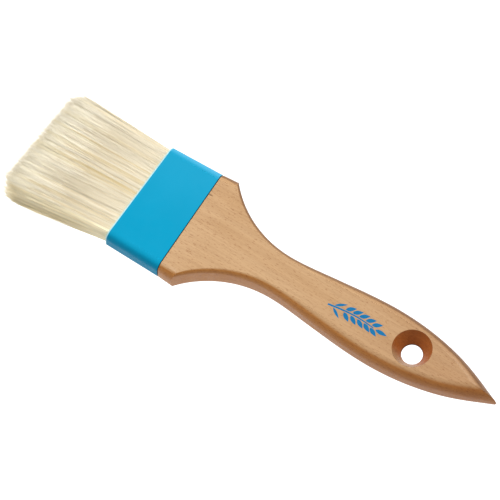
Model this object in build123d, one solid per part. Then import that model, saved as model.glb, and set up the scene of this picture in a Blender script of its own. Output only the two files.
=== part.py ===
from build123d import *
import math
import os

# Flat two-inch pastry brush lying on its wide face.
# X runs along the brush, bristles at -X and the pointed handle tip at +X.
# Y runs across its width and Z through its thickness.
# The origin is on the flat underside of the handle, on its centre line, halfway along the brush.

# ---- driving dimensions, millimetres and degrees ----
bristle_free_length = 48.4
ferrule_length = 24.9
handle_visible_length = 150.3
handle_thickness = 13.0
mid_z = handle_thickness / 2

overall_length = bristle_free_length + ferrule_length + handle_visible_length
tip_x = overall_length / 2
shoulder_x = tip_x - handle_visible_length
mouth_x = shoulder_x - ferrule_length
bristle_end_x = mouth_x - bristle_free_length

# ferrule: a moulded sleeve, narrower at the bristle end, its mouth a little out of square
ferrule_wood_width = 51.0
ferrule_mouth_width = 49.6
ferrule_thickness = 11.6
ferrule_corner = 3.7
ferrule_wall = 1.2
ferrule_lip = 0.4
mouth_skew = 1.9

# shoulder: the handle's wide end, drawn in a little where it meets the ferrule
shoulder_gap = 0.35
shoulder_length = 7.5
shoulder_root_width = 50.6
shoulder_root_thickness = 11.4
shoulder_root_corner = 3.4
shoulder_width = 51.8
shoulder_corner = 4.0
shoulder_bow = 0.45
shoulder_bow_corner = 3.8

# handle outline: distances from the shoulder plane, and half widths
cove_start = 2.0
cove_radius = 47.0
neck_from_shoulder = 43.6
neck_half_width = 8.9
grip_points = [(60.0, 10.3), (76.0, 12.15), (95.0, 13.2), (117.0, 11.0), (136.0, 5.55)]
tip_slope = -0.40
edge_radius = 4.5

# tang: the part of the handle hidden in the ferrule
tang_length = 9.5
tang_clearance = 0.05
tang_overlap = 1.0

# hanging hole, countersunk from both faces down to a short straight land
hole_from_shoulder = 108.8
hole_radius = 4.5
hole_rim_radius = 8.45
hole_land_length = 1.6

# bristle pack, leaning towards -Y and fanning out towards its tips
pack_far_half_width_mouth = 23.1
pack_near_half_width_mouth = 23.4
pack_far_half_width_tip = 24.7
pack_near_half_width_tip = 28.9
pack_end_shift = 2.2
pack_far_corner = 7.0
pack_near_corner = 8.0
pack_base_radius = 4.2
flex_from_mouth = 5.2
row_gap = 0.1

# inside the ferrule
fit_gap = 0.05
root_length = 11.4
plug_setback = 1.25
plug_length = 10.1
plug_width = 41.0
plug_thickness = 2.2

# construction shapes run past what they cut or build by overrun, and far is beyond the whole brush
overrun = 3.0
outline_overrun = 14.0
far = 60.0


def section(x, width, thickness, corner):
    """A rounded rectangle square to the X axis, centred on the brush's middle line."""
    plane = Plane(origin=(x, 0, mid_z), x_dir=(0, 1, 0), z_dir=(1, 0, 0))
    return plane * RectangleRounded(width, thickness, corner)


def ferrule_width(x):
    """Outer width of the ferrule at x, by its even taper."""
    share = (shoulder_x - x) / ferrule_length
    return ferrule_wood_width + share * (ferrule_mouth_width - ferrule_wood_width)


def inner_section(x, gap):
    """The ferrule's opening at x, drawn smaller all round by gap."""
    inset = ferrule_wall + gap
    width = ferrule_width(x) - 2 * inset
    thickness = ferrule_thickness - 2 * inset
    return section(x, width, thickness, ferrule_corner - inset)


def inner_block(x_low, x_high, gap):
    """A solid that fills the ferrule's opening between two stations."""
    return loft([inner_section(x_low, gap), inner_section(x_high, gap)], ruled=True)


def beyond_mouth():
    """Everything on the -X side of the ferrule's slanted mouth."""
    block = Pos(-far, 0, 0) * Box(2 * far, 4 * far, 4 * far)
    return Pos(mouth_x, 0, mid_z) * Rot(0, 0, -mouth_skew) * block


def halves(pack):
    """A bristle pack parted into its upper and lower rows by a thin gap."""
    gap_sheet = Pos(mouth_x, 0, mid_z) * Box(4 * far, 2 * far, row_gap)
    parted = pack - gap_sheet
    upper = parted & Pos(mouth_x, 0, mid_z + far / 2) * Box(4 * far, 2 * far, far)
    lower = parted & Pos(mouth_x, 0, mid_z - far / 2) * Box(4 * far, 2 * far, far)
    return upper, lower


def handle_side():
    """The handle as bounded by its +Y outline alone, with that outline's two edges rounded over."""
    neck_x = shoulder_x + neck_from_shoulder
    cove_x = shoulder_x + cove_start
    cove_centre_y = neck_half_width + cove_radius
    cove_y = cove_centre_y - math.sqrt(cove_radius**2 - (neck_x - cove_x) ** 2)
    past_tip_x = tip_x + outline_overrun
    past_tip_y = outline_overrun * tip_slope
    before_x = shoulder_x - outline_overrun
    grip_outline = [(neck_x, neck_half_width)]
    grip_outline += [(shoulder_x + run, half) for run, half in grip_points]
    grip_outline += [(tip_x, 0)]
    cove = RadiusArc((cove_x, cove_y), (neck_x, neck_half_width), -cove_radius)
    grip = Spline(*grip_outline, tangents=[(1, 0), (1, tip_slope)])
    border = Polyline(
        (tip_x, 0),
        (past_tip_x, past_tip_y),
        (past_tip_x, -far),
        (before_x, -far),
        (before_x, cove_y),
        (cove_x, cove_y),
    )
    slab = extrude(make_face([cove, grip, border]), handle_thickness)
    rounded = []
    for curve in (cove, grip):
        middle = curve @ 0.5
        for level in (0, handle_thickness):
            rounded.append(slab.edges().sort_by_distance((middle.X, middle.Y, level))[0])
    return fillet(rounded, edge_radius)


def shoulder_limits():
    """The shoulder's slightly bowed flanks, and a clear block over the rest of the handle."""
    root_x = shoulder_x + shoulder_gap
    bow_x = shoulder_x + shoulder_length / 2
    end_x = shoulder_x + shoulder_length
    root = section(root_x, shoulder_root_width, shoulder_root_thickness, shoulder_root_corner)
    bow_width = shoulder_width - shoulder_bow
    bow_thickness = handle_thickness - shoulder_bow
    bow = section(bow_x, bow_width, bow_thickness, shoulder_bow_corner)
    end = section(end_x, shoulder_width, handle_thickness, shoulder_corner)
    rest = Pos(end_x + 1.5 * far, 0, mid_z) * Box(3 * far, 2 * far, handle_thickness)
    return loft([root, bow, end]) + rest


def hanging_hole():
    """The cutter for the hanging hole: a straight land between two cones."""
    cone_depth = (handle_thickness - hole_land_length) / 2
    cone_centre = (hole_land_length + cone_depth) / 2
    land = Cylinder(hole_radius, handle_thickness)
    upper = Pos(0, 0, cone_centre) * Cone(hole_radius, hole_rim_radius, cone_depth)
    lower = Rot(180, 0, 0) * upper
    return Pos(shoulder_x + hole_from_shoulder, 0, mid_z) * (land + upper + lower)


def handle():
    """Shoulder, neck and grip in one piece of wood, with the tang that the ferrule hides."""
    near_side = handle_side()
    far_side = mirror(near_side, about=Plane.XZ)
    grip = near_side & far_side & shoulder_limits()
    tang = inner_block(shoulder_x - tang_length, shoulder_x, tang_clearance)
    tang_cap = extrude(inner_section(shoulder_x, tang_clearance), shoulder_gap + tang_overlap)
    return grip + tang + tang_cap - hanging_hole()


def ferrule():
    """The moulded sleeve, with a small rounded lip at its mouth."""
    low_x = mouth_x - overrun
    mouth_end = section(low_x, ferrule_width(low_x), ferrule_thickness, ferrule_corner)
    wood_end = section(shoulder_x, ferrule_wood_width, ferrule_thickness, ferrule_corner)
    outer = loft([mouth_end, wood_end], ruled=True) - beyond_mouth()
    outer = fillet(outer.faces().sort_by(Axis.X)[0].edges(), ferrule_lip)
    return outer - inner_block(low_x, shoulder_x + overrun, 0)


def spacer_plug():
    """The strip of wood between the two rows, which makes the pack wider than its hair."""
    centre_x = mouth_x + plug_setback + plug_length / 2
    return Pos(centre_x, 0, mid_z) * Box(plug_length, plug_width, plug_thickness)


def root_rows():
    """The gripped ends of the bristles, above and below the spacer plug."""
    block = inner_block(mouth_x - overrun, mouth_x + root_length, fit_gap) - beyond_mouth()
    pocket_width = plug_width + 2 * fit_gap
    pocket_thickness = plug_thickness + 2 * fit_gap
    pocket = Pos(mouth_x, 0, mid_z) * Box(2 * far, pocket_width, pocket_thickness)
    return halves(block - pocket)


def resin_set():
    """The cast block that locks the bristle ends between the plug and the tang."""
    start_x = mouth_x + root_length + fit_gap
    return inner_block(start_x, shoulder_x - tang_length - fit_gap, fit_gap)


def upright_edge(slab, x, y):
    """The upright edge of a slab that stands nearest to a point in plan."""
    return slab.edges().filter_by(Axis.Z).sort_by_distance((x, y, mid_z))[0]


def pack_outline():
    """Plan view of the free bristles, a tall slab that is trimmed to thickness later."""
    base_x = mouth_x - flex_from_mouth + pack_base_radius
    far_tip = (bristle_end_x + pack_end_shift, pack_far_half_width_tip)
    near_tip = (bristle_end_x - pack_end_shift, -pack_near_half_width_tip)
    outline = Polyline(
        (base_x, -pack_near_half_width_mouth),
        (base_x, pack_far_half_width_mouth),
        far_tip,
        near_tip,
        close=True,
    )
    slab = extrude(make_face(outline), handle_thickness)
    slab = fillet(upright_edge(slab, *far_tip), pack_far_corner)
    return fillet(upright_edge(slab, *near_tip), pack_near_corner)


def pack_side_profile():
    """Side view of the free bristles: round at the flexing base, as thick as the handle at the tips."""
    flex_x = mouth_x - flex_from_mouth
    tips_x = bristle_end_x - pack_end_shift
    plane = Plane(origin=(0, 0, mid_z), x_dir=(1, 0, 0), z_dir=(0, -1, 0))
    outline = Polyline(
        (flex_x, pack_base_radius),
        (tips_x, handle_thickness / 2),
        (tips_x, -handle_thickness / 2),
        (flex_x, -pack_base_radius),
        close=True,
    )
    wedge = extrude(plane * make_face(outline), far, both=True)
    round_base = Pos(flex_x, 0, mid_z) * Rot(90, 0, 0) * Cylinder(pack_base_radius, 2 * far)
    return wedge + round_base


def main():
    os.makedirs("parts", exist_ok=True)
    upper_roots, lower_roots = root_rows()
    upper_row, lower_row = halves(pack_outline() & pack_side_profile())
    nodes = {
        "handle": handle(),
        "ferrule": ferrule(),
        "spacer_plug": spacer_plug(),
        "resin_set": resin_set(),
        "bristle_roots_upper": upper_roots,
        "bristle_roots_lower": lower_roots,
        "bristle_row_upper": upper_row,
        "bristle_row_lower": lower_row,
    }
    for name, shape in nodes.items():
        export_step(shape, f"parts/{name}.step")


main()
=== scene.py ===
import math

import bmesh
import bpy
import numpy as np
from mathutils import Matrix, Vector


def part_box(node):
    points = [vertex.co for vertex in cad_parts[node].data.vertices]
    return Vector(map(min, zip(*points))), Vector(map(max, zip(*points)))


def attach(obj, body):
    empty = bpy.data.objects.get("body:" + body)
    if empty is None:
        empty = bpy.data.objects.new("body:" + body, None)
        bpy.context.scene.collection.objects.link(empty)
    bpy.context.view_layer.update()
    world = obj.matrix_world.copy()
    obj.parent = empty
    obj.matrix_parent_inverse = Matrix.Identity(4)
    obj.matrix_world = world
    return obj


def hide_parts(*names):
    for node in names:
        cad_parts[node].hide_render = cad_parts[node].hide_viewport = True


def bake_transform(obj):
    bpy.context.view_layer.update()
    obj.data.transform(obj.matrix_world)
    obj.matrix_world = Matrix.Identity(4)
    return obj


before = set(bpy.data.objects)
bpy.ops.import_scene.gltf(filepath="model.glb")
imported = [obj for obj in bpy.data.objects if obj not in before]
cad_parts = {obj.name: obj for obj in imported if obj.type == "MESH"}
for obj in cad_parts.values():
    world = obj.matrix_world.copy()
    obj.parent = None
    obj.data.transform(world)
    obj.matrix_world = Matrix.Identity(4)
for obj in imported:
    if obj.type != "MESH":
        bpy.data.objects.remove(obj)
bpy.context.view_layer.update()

# A flat pastry brush on its wide face over a pale floor. X runs along the brush from the bristle tips to
# the point of the handle, Y across it and Z up. Lengths are in metres, and MM turns millimetres into metres.
# Tables of stations are in plain millimetres, because they are easier to read that way.
MM = 0.001

# ---- places taken from the frame ----
handle_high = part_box("handle")[1]
ferrule_low, ferrule_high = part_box("ferrule")
row_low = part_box("bristle_row_upper")[0]
TOP_Z = handle_high.z
MID_Z = TOP_Z / 2
# the handle in the photo ends a little before the CAD handle does
TIP_TRIM = 0.9 * MM
TIP_X = handle_high.x - TIP_TRIM
SHOULDER_X = ferrule_high.x
# the ferrule's mouth is a little out of square, reaches this far to either side and has its middle at MOUTH_X
MOUTH_SKEW = math.radians(1.9)
MOUTH_REACH = 24.9 * MM
MOUTH_X = ferrule_low.x + MOUTH_REACH * math.tan(MOUTH_SKEW)

# ---- handle sizes, measured from the shoulder plane ----
SHOULDER_GAP = 0.35 * MM
# distance from the shoulder, width, thickness and corner radius of the loft that trims the outline
FLANK_SECTIONS = [
    (0.35, 50.6, 11.4, 3.4),
    (1.3, 50.95, 11.55, 3.5),
    (3.75, 51.4, 12.0, 3.8),
    (7.5, 51.85, 12.6, 4.0),
    (9.5, 60.0, 12.85, 4.0),
    (13.0, 60.0, 13.2, 4.0),
    (160.0, 60.0, 20.0, 4.0),
]
TANG_LENGTH = 9.5 * MM
TANG_OVERLAP = 2.0 * MM
TANG_WIDTHS = (48.0 * MM, 48.5 * MM)
TANG_THICKNESS = 9.1 * MM
TANG_CORNER = 2.45 * MM
COVE_START_X = SHOULDER_X - 2.0 * MM
COVE_RADIUS = 47.0 * MM
COVE_STEPS = 70
NECK_X = SHOULDER_X + 43.6 * MM
NECK_HALF = 8.9 * MM
GRIP_STEPS = 150
# distance from the shoulder and half width
GRIP_POINTS = [(60.0, 10.3), (76.0, 12.15), (95.0, 13.2), (117.0, 11.0), (136.0, 5.55)]
TIP_SLOPE = -0.40
# distance from the shoulder and radius of the rounded edge
UPPER_EDGE = [(0.0, 1.8), (12.0, 2.0), (43.6, 3.3), (70.0, 4.5), (128.0, 4.5), (148.0, 6.0)]
LOWER_EDGE = [(0.0, 3.4), (12.0, 3.8), (43.6, 4.6), (70.0, 5.2), (128.0, 5.2), (148.0, 6.4)]
# distance from the shoulder and the degrees by which the rounded edge stops short of level
CREASE = [(0.0, 24.0), (43.6, 15.0), (70.0, 8.0), (160.0, 5.0)]
ARC_STEPS = 10
HOLE_X = SHOULDER_X + 108.4 * MM
HOLE_RADIUS = 4.5 * MM
HOLE_RIM_RADIUS = 8.45 * MM
HOLE_LAND = 0.6 * MM
HOLE_OVERRUN = 1.0 * MM
# points of the handle closer than this are one point
WELD = 1e-7


# ---- small helpers ----
def link(obj):
    bpy.context.scene.collection.objects.link(obj)
    return obj


def mesh_object(name, points, faces):
    mesh = bpy.data.meshes.new(name)
    mesh.from_pydata([tuple(p) for p in points], [], faces)
    mesh.update()
    return link(bpy.data.objects.new(name, mesh))


def boolean(target, cutter, operation):
    """Applies an exact boolean to target's mesh and removes the cutter."""
    modifier = target.modifiers.new("cut", "BOOLEAN")
    modifier.operation = operation
    modifier.solver = "EXACT"
    modifier.object = cutter
    graph = bpy.context.evaluated_depsgraph_get()
    made = bpy.data.meshes.new_from_object(target.evaluated_get(graph))
    target.modifiers.clear()
    target.data = made
    bpy.data.objects.remove(cutter)


def face_outwards(obj, weld=0.0):
    """Turns all faces outwards, once points closer than weld are joined."""
    work = bmesh.new()
    work.from_mesh(obj.data)
    if weld:
        bmesh.ops.remove_doubles(work, verts=work.verts, dist=weld)
        bmesh.ops.dissolve_degenerate(work, edges=work.edges, dist=weld / 10)
    bmesh.ops.recalc_face_normals(work, faces=work.faces)
    work.to_mesh(obj.data)
    work.free()


def evenness(face):
    """2 for a level face, 1 for one that leans by up to 5.7 degrees and 0 for any other."""
    up = abs(face.normal.z)
    if up > 0.99999:
        return 2
    return 1 if up > 0.995 else 0


def shade(obj, angle=30.0):
    """Smooth shading, sharp where evenness changes and where faces turn by more than angle degrees."""
    work = bmesh.new()
    work.from_mesh(obj.data)
    for face in work.faces:
        face.smooth = True
    for edge in work.edges:
        found = [evenness(face) for face in edge.link_faces]
        alike = len(found) == 2 and found[0] == found[1]
        edge.smooth = alike and edge.calc_face_angle(0.0) < math.radians(angle)
    work.to_mesh(obj.data)
    work.free()


# ---- handle ----
def clamped_spline(xs, ys, slope_start, slope_end):
    """Knot slopes of the smooth cubic curve through the points with the given end slopes."""
    count = len(xs)
    step = np.diff(xs)
    rise = np.diff(ys) / step
    matrix = np.eye(count)
    right = np.zeros(count)
    right[0], right[-1] = slope_start, slope_end
    for i in range(1, count - 1):
        matrix[i, i - 1] = 1 / step[i - 1]
        matrix[i, i] = 2 / step[i - 1] + 2 / step[i]
        matrix[i, i + 1] = 1 / step[i]
        right[i] = 3 * (rise[i - 1] / step[i - 1] + rise[i] / step[i])
    return np.linalg.solve(matrix, right)


def grip_curve(x):
    """Half width and its slope at x, from the neck to the tip."""
    xs = np.array([NECK_X] + [SHOULDER_X + run * MM for run, _ in GRIP_POINTS] + [TIP_X])
    ys = np.array([NECK_HALF] + [half * MM for _, half in GRIP_POINTS] + [0.0])
    slopes = clamped_spline(xs, ys, 0.0, TIP_SLOPE)
    i = np.clip(np.searchsorted(xs, x) - 1, 0, len(xs) - 2)
    h = xs[i + 1] - xs[i]
    t = (x - xs[i]) / h
    value = (1 + 2 * t) * (1 - t) ** 2 * ys[i] + t * (1 - t) ** 2 * h * slopes[i]
    value += t**2 * (3 - 2 * t) * ys[i + 1] + t**2 * (t - 1) * h * slopes[i + 1]
    slope = 6 * t * (t - 1) / h * (ys[i] - ys[i + 1])
    slope += (1 - t) * (1 - 3 * t) * slopes[i] + t * (3 * t - 2) * slopes[i + 1]
    return value, slope


def outline_stations():
    """Points of the +Y outline with their outward normals, from the cove to the tip."""
    points = []
    for a in np.linspace(math.asin((NECK_X - COVE_START_X) / COVE_RADIUS), 0, COVE_STEPS):
        x = NECK_X - COVE_RADIUS * math.sin(a)
        y = NECK_HALF + COVE_RADIUS * (1 - math.cos(a))
        points.append((x, y, math.sin(a), math.cos(a)))
    for x in np.linspace(NECK_X, TIP_X, GRIP_STEPS)[1:]:
        y, slope = grip_curve(x)
        size = math.hypot(1, slope)
        points.append((x, max(y, 0.0), -slope / size, 1 / size))
    return points


def along_handle(x, stations):
    """The value at x in a table of pairs: distance from the shoulder in millimetres, value."""
    runs = [SHOULDER_X + run * MM for run, _ in stations]
    return float(np.interp(x, runs, [value for _, value in stations]))


def half_profile(station, stations):
    """Rounded upper edge of the handle at one station: wall top first, flat face or ridge last."""
    x, y, nx, ny = station
    radius = along_handle(x, stations) * MM
    # the arc stops short of level, so that the flat face starts at a faint crease
    full = math.pi / 2 - math.radians(along_handle(x, CREASE))
    last = full
    if y < radius * ny:
        last = min(full, math.acos(max(0.0, 1 - y / (radius * ny))))
    points = []
    for k in range(ARC_STEPS + 1):
        a = last * k / ARC_STEPS
        inward = radius * (1 - math.cos(a))
        z = TOP_Z + radius * (math.sin(a) - math.sin(full))
        points.append((x - nx * inward, y - ny * inward, z))
    return points


def plan_solid():
    """The handle's outline at full thickness with its rounded edges, still without shoulder or hole."""
    points = []
    faces = []
    rows = []
    for station in outline_stations():
        upper = half_profile(station, UPPER_EDGE)
        lower = [(x, y, TOP_Z - z) for x, y, z in half_profile(station, LOWER_EDGE)]
        rows.append(lower[::-1] + upper)
    width = len(rows[0])
    for side in (1, -1):
        base = len(points)
        for row in rows:
            points += [(x, side * y, z) for x, y, z in row]
        for i in range(len(rows) - 1):
            for j in range(width - 1):
                a = base + i * width + j
                quad = [a, a + width, a + width + 1, a + 1]
                faces.append(quad if side == 1 else quad[::-1])
    # the flat faces end where the rounded edges of the two sides meet
    total = len(rows) * width
    for j in (0, width - 1):
        flat = [i for i, row in enumerate(rows) if row[j][1] > WELD]
        left = [i * width + j for i in flat] + [(flat[-1] + 1) * width + j]
        right = [total + i * width + j for i in flat]
        loop = left + right[::-1]
        faces.append(loop if j else loop[::-1])
    first = list(range(width))
    faces.append(first)
    faces.append([total + j for j in first][::-1])
    faces.append([0, width - 1, total + width - 1, total])
    solid = mesh_object("handle_skin", points, faces)
    face_outwards(solid, WELD)
    return solid


def rounded_section(x, width, thickness, corner, steps=8):
    """Points of an upright rounded rectangle at x, centred on the brush's middle line."""
    points = []
    for quarter in range(4):
        sign_y = 1 if quarter in (0, 3) else -1
        sign_z = 1 if quarter < 2 else -1
        for k in range(steps + 1):
            a = math.pi / 2 * (quarter + k / steps)
            y = sign_y * (width / 2 - corner) + corner * math.cos(a)
            z = sign_z * (thickness / 2 - corner) + corner * math.sin(a)
            points.append((x, y, MID_Z + z))
    return points


def loft(name, sections):
    """A closed solid through rounded rectangles."""
    rings = [rounded_section(*s) for s in sections]
    count = len(rings[0])
    points = [p for ring in rings for p in ring]
    faces = []
    for i in range(len(rings) - 1):
        for j in range(count):
            k = (j + 1) % count
            faces.append([i * count + j, i * count + k, (i + 1) * count + k, (i + 1) * count + j])
    faces.append(list(range(count))[::-1])
    faces.append([(len(rings) - 1) * count + j for j in range(count)])
    made = mesh_object(name, points, faces)
    face_outwards(made)
    return made


def lathe(name, profile, centre, steps=96):
    """A closed solid turned about a vertical axis from (radius, height) pairs, bottom first."""
    points = []
    faces = []
    for radius, height in profile:
        for k in range(steps):
            a = 2 * math.pi * k / steps
            points.append((centre[0] + radius * math.cos(a), centre[1] + radius * math.sin(a), height))
    for i in range(len(profile) - 1):
        for k in range(steps):
            m = (k + 1) % steps
            faces.append([i * steps + k, i * steps + m, (i + 1) * steps + m, (i + 1) * steps + k])
    faces.append(list(range(steps))[::-1])
    faces.append([(len(profile) - 1) * steps + k for k in range(steps)])
    return mesh_object(name, points, faces)


def make_handle():
    """The wooden handle with its tang and with its hole, which is countersunk from both faces."""
    handle = plan_solid()
    flank = [(SHOULDER_X + run * MM, w * MM, t * MM, c * MM) for run, w, t, c in FLANK_SECTIONS]
    boolean(handle, loft("flank", flank), "INTERSECT")
    tang_ends = (SHOULDER_X - TANG_LENGTH, SHOULDER_X + TANG_OVERLAP)
    tang = [(x, width, TANG_THICKNESS, TANG_CORNER) for x, width in zip(tang_ends, TANG_WIDTHS)]
    boolean(handle, loft("tang", tang), "UNION")
    cone = TOP_Z / 2 - HOLE_LAND / 2
    slope = (HOLE_RIM_RADIUS - HOLE_RADIUS) / cone
    widest = HOLE_RIM_RADIUS + HOLE_OVERRUN * slope
    profile = [
        (widest, -HOLE_OVERRUN),
        (HOLE_RADIUS, cone),
        (HOLE_RADIUS, TOP_Z - cone),
        (widest, TOP_Z + HOLE_OVERRUN),
    ]
    boolean(handle, lathe("hole", profile, (HOLE_X, 0.0)), "DIFFERENCE")
    shade(handle)
    handle.data.materials.clear()
    handle.data.materials.append(wood_material())
    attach(handle, "grip")
    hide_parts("handle")


# ---- bristles ----
# across runs from -1 on the near side to 1 on the far side, depth from -1 below to 1 above, and edge is
# how far a strand is from the closer side, as a share of the half width
ROOT_DEPTH = 11.2 * MM
MOUTH_INSET = 0.9 * MM
# the power by which the strands fan out in thickness from the ferrule's mouth towards the tips
SPREAD_POWER = 0.92
MOUTH_HALF_WIDTH = 23.35 * MM
MOUTH_HALF_THICKNESS = 4.45 * MM
MOUTH_CORNER = 2.4 * MM
TIP_HALF_THICKNESS = 6.2 * MM
TIP_CORNER = 3.6 * MM
TIP_FAR_Y = 23.6 * MM
TIP_NEAR_Y = -27.85 * MM
END_TRIM = 0.9 * MM
END_X = row_low.x + END_TRIM
END_SKEW = 2.2 * MM
FAR_CORNER = 5.8 * MM
NEAR_CORNER = 6.6 * MM
PLUG_HALF_THICKNESS = 1.2 * MM
PLUG_HALF_WIDTH = 20.6 * MM
STRAND_RINGS = np.array([0.0, 0.08, 0.18, 0.32, 0.48, 0.66, 0.84, 0.95, 1.0])
STRAND_SIDES = 3
STRAND_COUNT = 13500
STRAND_SEED = 11
RING_SEED = 5
RING_POWERS = (0.75, 1.33)
# radius of a strand, how much thicker the outer strands are, and how the radius changes along a strand
STRAND_RADII = (0.08 * MM, 0.12 * MM)
OUTER_DEPTH = 0.8
OUTER_SCALE = 1.2
TAPER_PLACES = [0, 0.3, 0.9, 1.0]
TAPER = [1.0, 1.0, 0.62, 0.2]
# SKIN_SHARE of the strands lie close under the upper and lower faces, and FLANK_SHARE close to the two sides
SKIN_SHARE = 0.42
SKIN_DEPTH = 0.08
FLANK_SHARE = 0.18
FLANK_DEPTH = 0.02
CROWDING = 1.5
# strands with an edge below these are treated as flank, as side and as the near side, whose paler tones are
# painted light
FLANK_EDGE = 0.05
SIDE_EDGE = 0.06
NEAR_LIT_EDGE = 0.10
CLUMPS = 1100
CLUMP_NARROWNESS = 22
CLUMP_PULL = 0.03
CLUMP_DEPTH_PULL = 0.3
CLUMP_SHIFT = 0.04 * MM
# how the strands' lengths vary: most end a little short, some far short, and wisps reach further
LENGTH_SPREAD = 1.6 * MM
LENGTH_NOISE = 0.3 * MM
LENGTH_LEAD = 0.2 * MM
END_BULGE = 0.6 * MM
WISP_SHARE = 0.14
WISP_REACH = 1.8 * MM
WISP_LIMIT = 4.0 * MM
SHORT_SHARE = 0.12
SHORT_RANGE = (0.5 * MM, 7.0 * MM)
# how far single strands leave their straight lines: the last three of these are for the flanks
WAVE = 0.08 * MM
SAG = 0.05 * MM
LIFT = 0.007 * MM
LOWEST = 0.15 * MM
HIGHEST = 0.2 * MM
STRAY = 0.35 * MM
SIDE_STRAY_SHARE = 0.4
STRAY_POWER = 1.2
FLANK_STRAY = 0.7 * MM
FLANK_STRAY_LIMIT = 2.0 * MM
FLANK_STRAY_INSET = 0.45 * MM
TONES = [
    (0.74, 0.667, 0.52),
    (0.735, 0.657, 0.50),
    (0.73, 0.648, 0.477),
    (0.72, 0.624, 0.444),
    (0.715, 0.605, 0.395),
    (0.70, 0.57, 0.325),
]
TIP_TONES = [(0.90, 0.84, 0.69), (0.89, 0.82, 0.64), (0.87, 0.79, 0.58), (0.96, 0.85, 0.59)]
# a strand's tone follows its streak: a sum of broad stripes, its own share and the share of its clump, with
# some whole clumps darker and the flanks painted darkest above the middle as painted shade
BROAD_KNOTS = 60
BROAD_STREAK = 0.28
OWN_STREAK = 1.1
CLUMP_STREAK = 0.45
DARK_CLUMP_SHARE = 0.10
DARK_CLUMP_STREAK = 1.6
FLANK_DEPTHS = [-1.0, 0.0, 0.6, 1.0]
FLANK_SHADE_STREAK = [-0.9, 0.2, 1.6, 0.6]
TONE_STEPS = [-0.9, 0.1, 0.9, 1.7, 2.5]
# side strands below this depth take pale tip tones as painted light
LIT_BELOW = 0.35
GROOVE_KNOTS = 90
BANDS = (("near", -1.01, -0.34), ("middle", -0.34, 0.34), ("far", 0.34, 1.01))


def noise_line(random, knots):
    """A smooth random curve over 0..1 with about the given number of swings."""
    values = random.normal(0, 1, knots + 3)

    def curve(u):
        place = np.clip(u, 0, 1) * knots
        i = place.astype(int)
        t = place - i
        t = t * t * (3 - 2 * t)
        return values[i] * (1 - t) + values[i + 1] * t

    return curve


def corner_limit(edge_distance, corner, half):
    """Share of the half thickness that is left this close to a rounded corner's side."""
    d = np.clip(edge_distance, 0, corner)
    return 1 - (corner - np.sqrt(corner**2 - (corner - d) ** 2)) / half


def end_line(tip_y):
    """X of the brush's slanting end, with its rounded corners, at each tip_y."""
    share = (tip_y - TIP_NEAR_Y) / (TIP_FAR_Y - TIP_NEAR_Y)
    near_gap = np.clip(tip_y - TIP_NEAR_Y, 0, NEAR_CORNER)
    far_gap = np.clip(TIP_FAR_Y - tip_y, 0, FAR_CORNER)
    end = END_X + END_SKEW * (2 * share - 1)
    end += NEAR_CORNER - np.sqrt(NEAR_CORNER**2 - (NEAR_CORNER - near_gap) ** 2)
    end += FAR_CORNER - np.sqrt(FAR_CORNER**2 - (FAR_CORNER - far_gap) ** 2)
    return end


def strand_layout(random):
    """Where each strand lies, as its across and its depth."""
    across = random.uniform(-1, 1, STRAND_COUNT)
    depth = random.uniform(-1, 1, STRAND_COUNT)
    kind = random.uniform(0, 1, STRAND_COUNT)
    skin = kind < SKIN_SHARE
    inset = SKIN_DEPTH * random.uniform(0, 1, skin.sum()) ** CROWDING
    depth[skin] = np.sign(depth[skin]) * (1 - inset)
    flank = (kind >= SKIN_SHARE) & (kind < SKIN_SHARE + FLANK_SHARE)
    inset = FLANK_DEPTH * random.uniform(0, 1, flank.sum()) ** CROWDING
    across[flank] = np.sign(across[flank]) * (1 - inset)
    return across, depth


def gather(random, across, depth, tip_y, tip_z):
    """Draws the tips together in loose clumps, and returns each strand's clump."""
    centre_across = random.uniform(-1, 1, CLUMPS)
    centre_depth = random.uniform(-1, 1, CLUMPS)
    gap = (across[:, None] - centre_across) ** 2 * CLUMP_NARROWNESS + (depth[:, None] - centre_depth) ** 2
    clump = gap.argmin(1)
    pull = random.uniform(0.0, CLUMP_PULL, CLUMPS)[clump]
    tip_y += pull * (np.interp(centre_across[clump], [-1, 1], [TIP_NEAR_Y, TIP_FAR_Y]) - tip_y)
    tip_z += CLUMP_DEPTH_PULL * pull * (centre_depth[clump] * TIP_HALF_THICKNESS - tip_z)
    tip_y += random.normal(0, CLUMP_SHIFT, CLUMPS)[clump]
    return clump


def strand_ends(random, tip_y, depth):
    """X of each strand's tip."""
    # the ends are a little proud in the middle of the thickness
    end = end_line(tip_y) + END_BULGE * depth**4
    end += random.exponential(LENGTH_SPREAD, STRAND_COUNT) - LENGTH_LEAD
    end += random.normal(0, LENGTH_NOISE, STRAND_COUNT)
    wisp = random.uniform(0, 1, STRAND_COUNT) < WISP_SHARE
    end[wisp] -= np.minimum(random.exponential(WISP_REACH, wisp.sum()), WISP_LIMIT)
    short = random.uniform(0, 1, STRAND_COUNT) < SHORT_SHARE
    end[short] += random.uniform(*SHORT_RANGE, short.sum())
    return end


def strand_tones(random, across, depth, clump):
    """The number of each strand's material: a tone, or on the sides, as painted light, one of the last two
    tip tones.
    """
    edge = 1 - np.abs(across)
    streak = BROAD_STREAK * noise_line(random, BROAD_KNOTS)((across + 1) / 2)
    streak += OWN_STREAK * random.normal(0, 1, STRAND_COUNT)
    streak += CLUMP_STREAK * random.normal(0, 1, CLUMPS)[clump]
    streak += DARK_CLUMP_STREAK * (random.uniform(0, 1, CLUMPS) < DARK_CLUMP_SHARE)[clump]
    # painted shade: above the middle the flanks take darker, yellower tones
    streak += (edge < FLANK_EDGE) * np.interp(depth, FLANK_DEPTHS, FLANK_SHADE_STREAK)
    tone = np.digitize(streak, TONE_STEPS)
    # painted light: the lower sides and the near side take pale tip tones
    pale = ((edge < SIDE_EDGE) & (depth < LIT_BELOW)) | ((across < 0) & (edge < NEAR_LIT_EDGE))
    tone[pale] = len(TONES) + random.integers(2, 4, pale.sum())
    return tone


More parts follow.
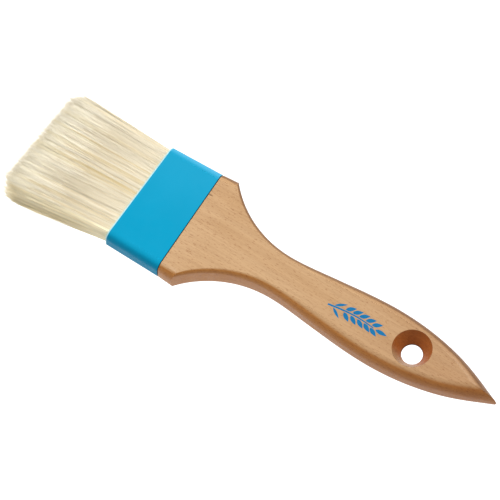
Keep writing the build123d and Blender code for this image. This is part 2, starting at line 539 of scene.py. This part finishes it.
def strand_paths(random):
    """Ring centres, ring radii, tone number, across and depth of each strand."""
    across, depth = strand_layout(random)
    side = np.sign(depth)
    edge = 1 - np.abs(across)
    mouth_y = across * MOUTH_HALF_WIDTH
    mouth_limit = corner_limit(edge * MOUTH_HALF_WIDTH, MOUTH_CORNER, MOUTH_HALF_THICKNESS)
    mouth_z = depth * mouth_limit * MOUTH_HALF_THICKNESS
    mouth_x = MOUTH_X + mouth_y * math.tan(MOUTH_SKEW) + MOUTH_INSET
    tip_y = np.interp(across, [-1, 1], [TIP_NEAR_Y, TIP_FAR_Y])
    tip_z = depth * corner_limit(edge * TIP_FAR_Y, TIP_CORNER, TIP_HALF_THICKNESS) * TIP_HALF_THICKNESS
    clump = gather(random, across, depth, tip_y, tip_z)
    end = strand_ends(random, tip_y, depth)

    # the first ring lies deep in the ferrule, above or below the plug or beside it
    centres = np.empty((STRAND_COUNT, len(STRAND_RINGS), 3))
    x, y, z = np.moveaxis(centres, 2, 0)
    x[:, 0] = MOUTH_X + ROOT_DEPTH
    y[:, 0] = mouth_y
    root_half = MOUTH_HALF_THICKNESS * mouth_limit
    root_z = PLUG_HALF_THICKNESS + np.abs(depth) * (root_half - PLUG_HALF_THICKNESS)
    z[:, 0] = np.where(np.abs(mouth_y) > PLUG_HALF_WIDTH, mouth_z, side * root_z)

    # each strand has its other rings in other places, so that no bands show across a bent bundle
    free = (STRAND_RINGS[1:] - STRAND_RINGS[1]) / (1 - STRAND_RINGS[1])
    free = free[None, :] ** np.random.default_rng(RING_SEED).uniform(*RING_POWERS, (STRAND_COUNT, 1))
    x[:, 1:] = mouth_x[:, None] + (end - mouth_x)[:, None] * free
    wave = random.normal(0, WAVE, (STRAND_COUNT, 1)) * np.sin(np.pi * free)
    stray = random.normal(0, STRAY, STRAND_COUNT) * np.where(edge < SIDE_EDGE, SIDE_STRAY_SHARE, 1.0)
    outward = np.minimum(random.exponential(FLANK_STRAY, STRAND_COUNT), FLANK_STRAY_LIMIT)
    stray += (edge < FLANK_EDGE) * np.sign(across) * (outward - FLANK_STRAY_INSET)
    y[:, 1:] = mouth_y[:, None] + (tip_y - mouth_y)[:, None] * free + wave
    y[:, 1:] += stray[:, None] * free**STRAY_POWER
    groove = noise_line(random, GROOVE_KNOTS)((across + 1) / 2) + random.normal(0, 1, CLUMPS)[clump]
    lift = np.abs(depth) ** 3 * (LIFT * groove)
    sag = random.normal(0, SAG, (STRAND_COUNT, 1)) * np.sin(np.pi * free)
    z[:, 1:] = mouth_z[:, None] + (tip_z - mouth_z)[:, None] * free**SPREAD_POWER + sag
    z[:, 1:] += (side * lift)[:, None] * free**0.5
    # no strand sinks into the table or rises far above the handle's face
    z[:, 1:] = np.clip(z[:, 1:], -MID_Z + LOWEST, MID_Z + HIGHEST)
    z += MID_Z

    outer = (np.abs(depth) > OUTER_DEPTH) | (edge < SIDE_EDGE)
    thick = random.uniform(*STRAND_RADII, STRAND_COUNT) * np.where(outer, OUTER_SCALE, 1.0)
    radius = thick[:, None] * np.interp(STRAND_RINGS, TAPER_PLACES, TAPER)[None, :]
    return centres, radius, strand_tones(random, across, depth, clump), across, depth


def strand_mesh(name, centres, radius, tone, random):
    """One mesh of thin three-sided tapering tubes, each with one material and another for its tip."""
    count, rings, _ = centres.shape
    turn = random.uniform(0, 2 * math.pi, (count, 1, 1))
    turn = turn + np.arange(STRAND_SIDES) * 2 * math.pi / STRAND_SIDES
    points = np.repeat(centres[:, :, None, :], STRAND_SIDES, axis=2)
    points[..., 1] += radius[:, :, None] * np.cos(turn)
    points[..., 2] += radius[:, :, None] * np.sin(turn)
    ring = np.arange(rings - 1)[:, None] * STRAND_SIDES
    k = np.arange(STRAND_SIDES)[None, :]
    n = (k + 1) % STRAND_SIDES
    quads = np.stack([ring + k, ring + n, ring + STRAND_SIDES + n, ring + STRAND_SIDES + k], 2)
    quads = quads.reshape(-1, 4)
    last = (rings - 1) * STRAND_SIDES
    caps = np.array([[2, 1, 0], [last, last + 1, last + 2]])
    base = (np.arange(count) * rings * STRAND_SIDES)[:, None, None]
    all_quads = (quads[None] + base).reshape(-1)
    all_caps = (caps[None] + base).reshape(-1)
    quad_count = count * len(quads)
    cap_count = count * len(caps)
    mesh = bpy.data.meshes.new(name)
    mesh.vertices.add(count * rings * STRAND_SIDES)
    mesh.vertices.foreach_set("co", points.astype(np.float32).ravel())
    mesh.loops.add(len(all_quads) + len(all_caps))
    mesh.loops.foreach_set("vertex_index", np.concatenate([all_quads, all_caps]).astype(np.int32))
    mesh.polygons.add(quad_count + cap_count)
    starts = np.concatenate([np.arange(quad_count) * 4, len(all_quads) + np.arange(cap_count) * 3])
    mesh.polygons.foreach_set("loop_start", starts.astype(np.int32))
    tip_from = random.integers(rings - 4, rings - 2, count)
    # the last segments of each strand take the tip tone that goes with its own
    tip_tone = np.where(tone < len(TONES), len(TONES) + tone // 2, tone)
    segment = np.arange(rings - 1)[None, :, None]
    quad_tone = np.where(segment >= tip_from[:, None, None], tip_tone[:, None, None], tone[:, None, None])
    quad_tone = np.repeat(quad_tone, STRAND_SIDES, axis=2).reshape(-1)
    cap_tone = np.stack([tone, tip_tone], 1).reshape(-1)
    mesh.polygons.foreach_set("material_index", np.concatenate([quad_tone, cap_tone]).astype(np.int32))
    mesh.polygons.foreach_set("use_smooth", np.ones(quad_count + cap_count, bool))
    mesh.update(calc_edges=True)
    mesh.validate()
    return link(bpy.data.objects.new(name, mesh))


HEART_INSET = 0.55 * MM
HEART_SHORT = 4.0 * MM
HEART_COLOUR = (0.82, 0.73, 0.53)
HEART_COLUMNS = 61
HEART_STATIONS = 15


def make_heart():
    """The closely packed middle of the bristles, just below the strands that can be told apart."""
    across = np.linspace(-1, 1, HEART_COLUMNS)
    edge = 1 - np.abs(across)
    mouth_y = across * (MOUTH_HALF_WIDTH - HEART_INSET)
    tip_y = np.interp(across, [-1, 1], [TIP_NEAR_Y + HEART_INSET, TIP_FAR_Y - HEART_INSET])
    mouth_x = MOUTH_X + mouth_y * math.tan(MOUTH_SKEW) + MOUTH_INSET
    tip_x = end_line(tip_y) + HEART_SHORT
    mouth_z = corner_limit(edge * MOUTH_HALF_WIDTH, MOUTH_CORNER, MOUTH_HALF_THICKNESS)
    mouth_z = mouth_z * (MOUTH_HALF_THICKNESS - HEART_INSET)
    tip_z = corner_limit(edge * TIP_FAR_Y, TIP_CORNER, TIP_HALF_THICKNESS)
    tip_z = tip_z * (TIP_HALF_THICKNESS - HEART_INSET)
    points = []
    faces = []
    for t in np.linspace(0, 1, HEART_STATIONS):
        x = mouth_x + (tip_x - mouth_x) * t
        y = mouth_y + (tip_y - mouth_y) * t
        z = mouth_z + (tip_z - mouth_z) * t**SPREAD_POWER
        points += list(zip(x, y, MID_Z + z))
        points += list(zip(x[::-1], y[::-1], MID_Z - z[::-1]))
    ring = 2 * HEART_COLUMNS
    for i in range(HEART_STATIONS - 1):
        for j in range(ring):
            k = (j + 1) % ring
            faces.append([i * ring + j, i * ring + k, (i + 1) * ring + k, (i + 1) * ring + j])
    for base in (0, (HEART_STATIONS - 1) * ring):
        for j in range(HEART_COLUMNS - 1):
            faces.append([base + j, base + j + 1, base + ring - 2 - j, base + ring - 1 - j])
    heart = mesh_object("bristle_heart", points, faces)
    face_outwards(heart)
    shade(heart)
    heart.data.materials.append(hair_material("bristle_heart", HEART_COLOUR))
    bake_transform(heart)
    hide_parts("bristle_row_upper", "bristle_row_lower")


def make_bristles():
    """All the strands, as one piece for each row and each third of the width."""
    random = np.random.default_rng(STRAND_SEED)
    centres, radius, tone, across, depth = strand_paths(random)
    shades = [hair_material(f"bristle_tone_{i + 1}", colour) for i, colour in enumerate(TONES)]
    shades += [hair_material(f"bristle_tip_{i + 1}", colour) for i, colour in enumerate(TIP_TONES)]
    for row, upper in (("upper", True), ("lower", False)):
        for band, low, high in BANDS:
            chosen = ((depth > 0) == upper) & (across >= low) & (across < high)
            name = f"bristles_{row}_{band}"
            piece = strand_mesh(name, centres[chosen], radius[chosen], tone[chosen], random)
            for shade_used in shades:
                piece.data.materials.append(shade_used)
            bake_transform(piece)
            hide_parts(f"bristle_row_{row}", f"bristle_roots_{row}")


# ---- printed emblem ----
EMBLEM_X = 30.0 * MM
EMBLEM_LENGTH = 27.0 * MM
EMBLEM_Y = -1.0 * MM
INK_BELOW = 0.02 * MM
INK_ABOVE = 0.015 * MM
STEM_BOW = 1.4 * MM
STEM_SHARE = 0.80
STEM_POINTS = 21
STEM_HALF = 0.42 * MM
STEM_TAPER = 0.22 * MM
LEAF_PLACE = 0.1
LEAF_LEAN = math.radians(34)
LEAF_OFFSET = 0.6 * MM
FIRST_GRAIN = 0.28
GRAIN_STEP = 0.118
TOP_GRAIN = 0.84
GRAIN_LEAN = math.radians(36)
LEAN_STEP = math.radians(2)
GRAIN_OFFSET = 0.7 * MM
GRAIN_PAIRS = 5
GRAIN_LENGTH = 4.7 * MM
GRAIN_WIDTH = 1.9 * MM
TOP_GRAIN_LENGTH = 5.6 * MM
TOP_GRAIN_WIDTH = 1.8 * MM
LEAF_LENGTH = 5.5 * MM
LEAF_WIDTH = 1.2 * MM


def prism(points, faces, outline):
    """Adds a thin closed plate with this outline to points and faces."""
    base = len(points)
    count = len(outline)
    for z in (TOP_Z - INK_BELOW, TOP_Z + INK_ABOVE):
        points += [(x, y, z) for x, y in outline]
    faces.append([base + count + i for i in range(count)])
    faces.append([base + i for i in range(count)][::-1])
    for i in range(count):
        k = (i + 1) % count
        faces.append([base + i, base + k, base + count + k, base + count + i])


def kernel_outline(x, y, angle, length, width, steps=14):
    """A pointed grain shape that grows from (x, y) in the direction of angle."""
    outline = []
    for sign in (1, -1):
        for k in range(steps):
            t = k / steps if sign == 1 else 1 - k / steps
            half = sign * width / 2 * math.sin(math.pi * t**0.8)
            along = t * length
            outline.append((
                x + along * math.cos(angle) - half * math.sin(angle),
                y + along * math.sin(angle) + half * math.cos(angle),
            ))
    return outline[::-1]


def stem_point(u):
    """The place on the ear's bowed middle line at u, which is 0 at its foot and 1 near its tip."""
    return EMBLEM_X + EMBLEM_LENGTH * u, EMBLEM_Y + STEM_BOW * math.sin(math.pi * u) - STEM_BOW / 2


def make_emblem():
    """A generic ear of wheat printed on the grip."""
    points = []
    faces = []
    left = []
    right = []
    for u in np.linspace(0, STEM_SHARE, STEM_POINTS):
        x, y = stem_point(u)
        half = STEM_HALF - STEM_TAPER * u
        left.append((x, y + half))
        right.append((x, y - half))
    prism(points, faces, right + left[::-1])
    for i in range(GRAIN_PAIRS):
        x, y = stem_point(FIRST_GRAIN + GRAIN_STEP * i)
        for sign in (1, -1):
            lean = sign * (GRAIN_LEAN - LEAN_STEP * i)
            grain = kernel_outline(x, y + sign * GRAIN_OFFSET, lean, GRAIN_LENGTH, GRAIN_WIDTH)
            prism(points, faces, grain)
    x, y = stem_point(TOP_GRAIN)
    prism(points, faces, kernel_outline(x, y, 0.0, TOP_GRAIN_LENGTH, TOP_GRAIN_WIDTH))
    x, y = stem_point(LEAF_PLACE)
    for sign in (1, -1):
        leaf = kernel_outline(x, y + sign * LEAF_OFFSET, sign * LEAF_LEAN, LEAF_LENGTH, LEAF_WIDTH)
        prism(points, faces, leaf)
    emblem = mesh_object("printed_wheat_ear", points, faces)
    emblem.data.materials.append(ink_material())
    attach(emblem, "grip")


# ---- materials ----
def material(name):
    """A new material with its node tree and its shader."""
    made = bpy.data.materials.new(name)
    made.use_nodes = True
    tree = made.node_tree
    return made, tree, tree.nodes["Principled BSDF"]


def settle(tree, target, inputs):
    """Sets a node's inputs by name or number: a socket is linked, anything else is its value."""
    for key, value in inputs.items():
        if isinstance(value, bpy.types.NodeSocket):
            tree.links.new(value, target.inputs[key])
        else:
            target.inputs[key].default_value = value


def add(tree, kind, inputs=None, **settings):
    """A new node of this kind, with its settings and its inputs."""
    made = tree.nodes.new("ShaderNode" + kind)
    for name, value in settings.items():
        setattr(made, name, value)
    settle(tree, made, inputs or {})
    return made


def maths(tree, operation, first, second=0.0):
    return add(tree, "Math", {0: first, 1: second}, operation=operation).outputs[0]


def vector_maths(tree, operation, first, second):
    return add(tree, "VectorMath", {0: first, 1: second}, operation=operation).outputs["Vector"]


def length(tree, vector):
    return add(tree, "VectorMath", {0: vector}, operation="LENGTH").outputs["Value"]


def stretched(tree, source, along, across):
    """Object coordinates scaled to cycles per metre along the brush and across it."""
    return add(tree, "Mapping", {"Vector": source, "Scale": (along, across, across)}).outputs["Vector"]


def noise(tree, vector, detail=2.0, roughness=0.5, distortion=0.0):
    inputs = {"Vector": vector, "Scale": 1.0, "Detail": detail, "Roughness": roughness}
    return add(tree, "TexNoise", inputs | {"Distortion": distortion}).outputs["Fac"]


def ranged(tree, value, low, high, out_low=0.0, out_high=1.0):
    """A smooth step of value from out_low at low to out_high at high."""
    inputs = {"Value": value, "From Min": low, "From Max": high, "To Min": out_low, "To Max": out_high}
    return add(tree, "MapRange", inputs, interpolation_type="SMOOTHSTEP").outputs["Result"]


def blended(tree, factor, first, second, kind="MIX"):
    """The colour first, mixed with second or multiplied by it as factor goes from 0 to 1."""
    inputs = {0: factor, 6: first, 7: second}
    inputs = {key: (*value, 1.0) if isinstance(value, tuple) else value for key, value in inputs.items()}
    return add(tree, "Mix", inputs, data_type="RGBA", blend_type=kind).outputs[2]


def tinted(tree, factor, colour, tint):
    """The colour, multiplied by tint as factor goes from 0 to 1."""
    return blended(tree, factor, colour, blended(tree, 1.0, colour, tint, "MULTIPLY"))


WOOD_PALE = (0.50, 0.312, 0.158)
WOOD_DEEP = (0.455, 0.268, 0.125)
WOOD_FIBRE = (0.60, 0.50, 0.42)
WOOD_FLECK = (0.62, 0.46, 0.34)
# painted shade that deepens towards the point of the handle
WOOD_FALLOFF_SHADE = (0.86, 0.80, 0.77)
WOOD_SPOT = (0.55, 0.48, 0.42)
WOOD_SEAM = (0.03, 0.03, 0.03)
FLECK_PLACE = (-37.4 * MM, 14.1 * MM, 13.0 * MM)
FLECK_SCALE = (1 / (1.5 * MM), 1 / (0.5 * MM), 0.0)
# painted shade on the routed sides, duller on the far sides
WOOD_SIDE_SHADE = (0.78, 0.52, 0.235)
WOOD_FAR_SIDE_SHADE = (0.45, 0.36, 0.27)
WOOD_NEAR_WALL = (0.84, 0.82, 0.80)
# painted shade on the countersink's far wall, over its darker end grain
WOOD_FAR_WALL_SHADE = (0.82, 0.41, 0.16)
WOOD_LAND = (0.45, 0.38, 0.35)
FALLOFF_SHADE_FROM = 10.0 * MM
FALLOFF_SHADE_TO = 105.0 * MM
SEAM_WIDTH = 0.08 * MM


def wood_material():
    made, tree, shader = material("lacquered_beech")
    place = add(tree, "TexCoord")
    where = place.outputs["Object"]
    broad = noise(tree, stretched(tree, where, 9, 95), 3.0, 0.55, 0.4)
    colour = blended(tree, ranged(tree, broad, 0.25, 0.75), WOOD_PALE, WOOD_DEEP)
    fibre = noise(tree, stretched(tree, where, 45, 1100), 3.0, 0.6)
    colour = blended(tree, ranged(tree, fibre, 0.3, 0.7, 0.0, 0.30), colour, WOOD_FIBRE, "MULTIPLY")
    fleck = noise(tree, stretched(tree, where, 520, 3000), 1.0, 0.5)
    fleck = ranged(tree, fleck, 0.58, 0.72, 0.0, 0.75)
    colour = blended(tree, fleck, colour, WOOD_FLECK, "MULTIPLY")
    # the grip is painted darker towards the point, as painted shade where the light falls off, and one small
    # fleck touches the ferrule
    spot = add(tree, "SeparateXYZ", {"Vector": where})
    colour = tinted(tree, ranged(tree, spot.outputs["X"], FALLOFF_SHADE_FROM, FALLOFF_SHADE_TO), colour, WOOD_FALLOFF_SHADE)
    away = vector_maths(tree, "SUBTRACT", where, FLECK_PLACE)
    away = length(tree, vector_maths(tree, "MULTIPLY", away, FLECK_SCALE))
    colour = tinted(tree, ranged(tree, away, 1.1, 0.5), colour, WOOD_SPOT)
    # the countersink's end grain is a little darker on its near wall; its far wall, which faces away from the
    # light, is painted deep reddish brown as painted shade, and the bore below it is darker
    offset = vector_maths(tree, "SUBTRACT", where, (HOLE_X, 0, 0))
    reach = length(tree, vector_maths(tree, "MULTIPLY", offset, (1, 1, 0)))
    inside = ranged(tree, reach, HOLE_RIM_RADIUS + 0.1 * MM, HOLE_RIM_RADIUS - 0.2 * MM)
    far_wall_shade = ranged(tree, spot.outputs["Y"], -7.5 * MM, -1.0 * MM)
    near_wall = maths(tree, "MULTIPLY", inside, maths(tree, "SUBTRACT", 1.0, far_wall_shade))
    colour = tinted(tree, near_wall, colour, WOOD_NEAR_WALL)
    colour = tinted(tree, maths(tree, "MULTIPLY", inside, far_wall_shade), colour, WOOD_FAR_WALL_SHADE)
    bore = ranged(tree, reach, HOLE_RADIUS + 0.25 * MM, HOLE_RADIUS + 0.1 * MM)
    colour = tinted(tree, bore, colour, WOOD_LAND)
    # the routed sides are painted darker and deeper in colour than the flat faces as painted shade, and the
    # far sides get a duller painted shade
    facing = add(tree, "SeparateXYZ", {"Vector": place.outputs["Normal"]})
    side = ranged(tree, maths(tree, "ABSOLUTE", facing.outputs["Z"]), 0.975, 0.80)
    side = maths(tree, "MULTIPLY", side, maths(tree, "SUBTRACT", 1.0, inside))
    side_shade_tint = blended(tree, ranged(tree, facing.outputs["Y"], 0.1, 0.5), WOOD_SIDE_SHADE, WOOD_FAR_SIDE_SHADE)
    colour = tinted(tree, side, colour, side_shade_tint)
    # a line of glue and shadow shows where the shoulder meets the ferrule
    seam_x = SHOULDER_X + SHOULDER_GAP
    colour = blended(tree, ranged(tree, spot.outputs["X"], seam_x + SEAM_WIDTH, seam_x), colour, WOOD_SEAM)
    rough = ranged(tree, noise(tree, stretched(tree, where, 60, 500), 2.0), 0.3, 0.7, 0.38, 0.48)
    height = maths(tree, "ADD", maths(tree, "MULTIPLY", fibre, 0.5), maths(tree, "MULTIPLY", fleck, -0.6))
    bump = add(tree, "Bump", {"Height": height, "Strength": 0.14, "Distance": 0.05 * MM})
    settle(tree, shader, {
        "Base Color": colour,
        "Roughness": rough,
        "Normal": bump.outputs["Normal"],
        "Specular IOR Level": 0.28,
    })
    return made


PLASTIC_LIGHT = (0.003, 0.275, 0.455)
PLASTIC_DEEP = (0.002, 0.265, 0.44)
# painted sheen on the far side of the ferrule, strongest at its far edge
PLASTIC_FAR_SHEEN = (0.03, 0.32, 0.51)
PLASTIC_FAR_EDGE_SHEEN = (0.08, 0.38, 0.58)
PLASTIC_NEAR_WALL_SHADE = (0.001, 0.19, 0.33)
PLASTIC_LIP_HIGHLIGHT = (0.40, 0.66, 0.68)


def plastic_material():
    made, tree, shader = material("sky_blue_plastic")
    place = add(tree, "TexCoord")
    where = place.outputs["Object"]
    cloud = noise(tree, stretched(tree, where, 60, 60), 3.0)
    colour = blended(tree, ranged(tree, cloud, 0.3, 0.7), PLASTIC_LIGHT, PLASTIC_DEEP)
    # the far side is painted paler and its far edge palest as a painted sheen, the near wall is painted
    # deeper as painted shade, and the lip at the mouth carries a pale painted highlight
    across = add(tree, "SeparateXYZ", {"Vector": where}).outputs["Y"]
    colour = blended(tree, ranged(tree, across, -15 * MM, 25 * MM, 0.0, 0.3), colour, PLASTIC_FAR_SHEEN)
    colour = blended(tree, ranged(tree, across, 21.5 * MM, 23.5 * MM, 0.0, 0.6), colour, PLASTIC_FAR_EDGE_SHEEN)
    # painted shade on the near wall, which faces away from the light
    facing = add(tree, "SeparateXYZ", {"Vector": place.outputs["Normal"]}).outputs["Y"]
    colour = blended(tree, ranged(tree, facing, -0.3, -0.9), colour, PLASTIC_NEAR_WALL_SHADE)
    # a pale painted highlight along the lip at the mouth, where the rounded edge catches the light
    square_to_lip = {0: where, 1: (1, -math.tan(MOUTH_SKEW), 0)}
    lip = add(tree, "VectorMath", square_to_lip, operation="DOT_PRODUCT").outputs["Value"]
    colour = blended(tree, ranged(tree, lip, MOUTH_X + 0.65 * MM, MOUTH_X + 0.4 * MM), colour, PLASTIC_LIP_HIGHLIGHT)
    skin = noise(tree, stretched(tree, where, 2500, 2500), 2.0)
    rough = ranged(tree, noise(tree, stretched(tree, where, 300, 300), 2.0), 0.3, 0.7, 0.32, 0.42)
    bump = add(tree, "Bump", {"Height": skin, "Strength": 0.12, "Distance": 0.02 * MM})
    settle(tree, shader, {
        "Base Color": colour,
        "Roughness": rough,
        "Normal": bump.outputs["Normal"],
        "Specular IOR Level": 0.04,
    })
    return made


def hair_material(name, colour):
    """One strand's even colour: the variety comes from the many tones of thousands of strands."""
    made, tree, shader = material(name)
    settle(tree, shader, {"Base Color": (*colour, 1.0), "Roughness": 0.5, "Specular IOR Level": 0.2})
    return made


INK_DEEP = (0.002, 0.13, 0.31)
INK_WORN = (0.008, 0.15, 0.32)
RAW_WOOD = ((0.42, 0.27, 0.14), (0.33, 0.2, 0.1))
RESIN = ((0.30, 0.16, 0.05), (0.22, 0.11, 0.03))


def ink_material():
    made, tree, shader = material("blue_ink")
    where = add(tree, "TexCoord").outputs["Object"]
    wear = noise(tree, stretched(tree, where, 500, 1900), 3.0, 0.6)
    colour = blended(tree, ranged(tree, wear, 0.35, 0.75), INK_DEEP, INK_WORN)
    settle(tree, shader, {"Base Color": colour, "Roughness": 0.45, "Specular IOR Level": 0.1})
    return made


def plain_wood_material():
    made, tree, shader = material("raw_wood")
    where = add(tree, "TexCoord").outputs["Object"]
    grain = noise(tree, stretched(tree, where, 400, 60), 3.0)
    colour = blended(tree, ranged(tree, grain, 0.3, 0.7), *RAW_WOOD)
    settle(tree, shader, {"Base Color": colour, "Roughness": 0.75})
    return made


def resin_material():
    made, tree, shader = material("amber_resin")
    where = add(tree, "TexCoord").outputs["Object"]
    cloud = noise(tree, stretched(tree, where, 250, 250), 3.0)
    colour = blended(tree, ranged(tree, cloud, 0.3, 0.7), *RESIN)
    settle(tree, shader, {"Base Color": colour, "Roughness": 0.2, "Coat Weight": 0.5})
    return made


# ---- scene ----
FLOOR_HALF = 6.0
# the floor is this far below the brush, so that bristles bent downwards stay in view
FLOOR_DROP = 30.0 * MM
FLOOR_GREY = (0.10, 0.10, 0.10, 1)
FLOOR_GLOW = 1.3


def make_floor():
    corners = [(-1, -1), (1, -1), (1, 1), (-1, 1)]
    points = [(x * FLOOR_HALF, y * FLOOR_HALF, -FLOOR_DROP) for x, y in corners]
    floor = mesh_object("floor", points, [[0, 1, 2, 3]])
    made, tree, shader = material("pale_floor")
    settle(tree, shader, {
        "Base Color": FLOOR_GREY,
        "Roughness": 0.9,
        "Specular IOR Level": 0.0,
        "Emission Color": (1, 1, 1, 1),
        "Emission Strength": FLOOR_GLOW,
    })
    floor.data.materials.append(made)


def look_along(obj, place, direction):
    """Puts a camera or lamp at place and turns it to face in this direction."""
    obj.location = place
    obj.rotation_mode = "QUATERNION"
    obj.rotation_quaternion = direction.to_track_quat("-Z", "Y")


# the far camera sees almost no perspective, and its view is VIEW_WIDTH wide at VIEW_CENTRE
VIEW_AZIMUTH = math.radians(32.43)
VIEW_ELEVATION = math.radians(66.3)
VIEW_DISTANCE = 6.0
VIEW_CENTRE = Vector((-11.6 * MM, 3.95 * MM, MID_Z))
VIEW_WIDTH = 206.441 * MM
SENSOR_WIDTH = 36.0


def make_camera():
    back = Vector((
        math.sin(VIEW_AZIMUTH) * math.cos(VIEW_ELEVATION),
        -math.cos(VIEW_AZIMUTH) * math.cos(VIEW_ELEVATION),
        math.sin(VIEW_ELEVATION),
    ))
    data = bpy.data.cameras.new("camera")
    data.sensor_width = SENSOR_WIDTH
    data.lens = SENSOR_WIDTH * VIEW_DISTANCE / VIEW_WIDTH
    data.clip_end = 100.0
    obj = link(bpy.data.objects.new("camera", data))
    look_along(obj, VIEW_CENTRE + back * VIEW_DISTANCE, -back)
    bpy.context.scene.camera = obj


def studio_place(turn, elevation, distance):
    """A place behind the brush as the camera sees it, turned by this angle and this far from the middle."""
    angle = VIEW_AZIMUTH + turn
    flat = math.cos(elevation)
    return Vector((-math.sin(angle) * flat, math.cos(angle) * flat, math.sin(elevation))) * distance


WORLD_STRENGTH = 0.55
KEY_TURN = math.radians(48)
KEY_ELEVATION = math.radians(50)
KEY_DISTANCE = 1.7
KEY_SIZE = 0.7
KEY_POWER = 16.6


def make_light():
    world = bpy.data.worlds.new("studio")
    bpy.context.scene.world = world
    world.use_nodes = True
    world.node_tree.nodes["Background"].inputs["Color"].default_value = (1, 1, 1, 1)
    world.node_tree.nodes["Background"].inputs["Strength"].default_value = WORLD_STRENGTH
    for name, turn in (("key_left", KEY_TURN), ("key_right", -KEY_TURN)):
        lamp = bpy.data.lights.new(name, "AREA")
        lamp.shape = "DISK"
        lamp.size = KEY_SIZE
        lamp.energy = KEY_POWER
        place = studio_place(turn, KEY_ELEVATION, KEY_DISTANCE)
        look_along(link(bpy.data.objects.new(name, lamp)), place, -place)
    bpy.context.scene.view_settings.view_transform = "Standard"


make_camera()
make_light()
make_floor()

make_handle()
make_emblem()
make_heart()
make_bristles()

for name, finish_used in (
    ("ferrule", plastic_material()),
    ("spacer_plug", plain_wood_material()),
    ("resin_set", resin_material()),
):
    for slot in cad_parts[name].material_slots:
        slot.material = finish_used
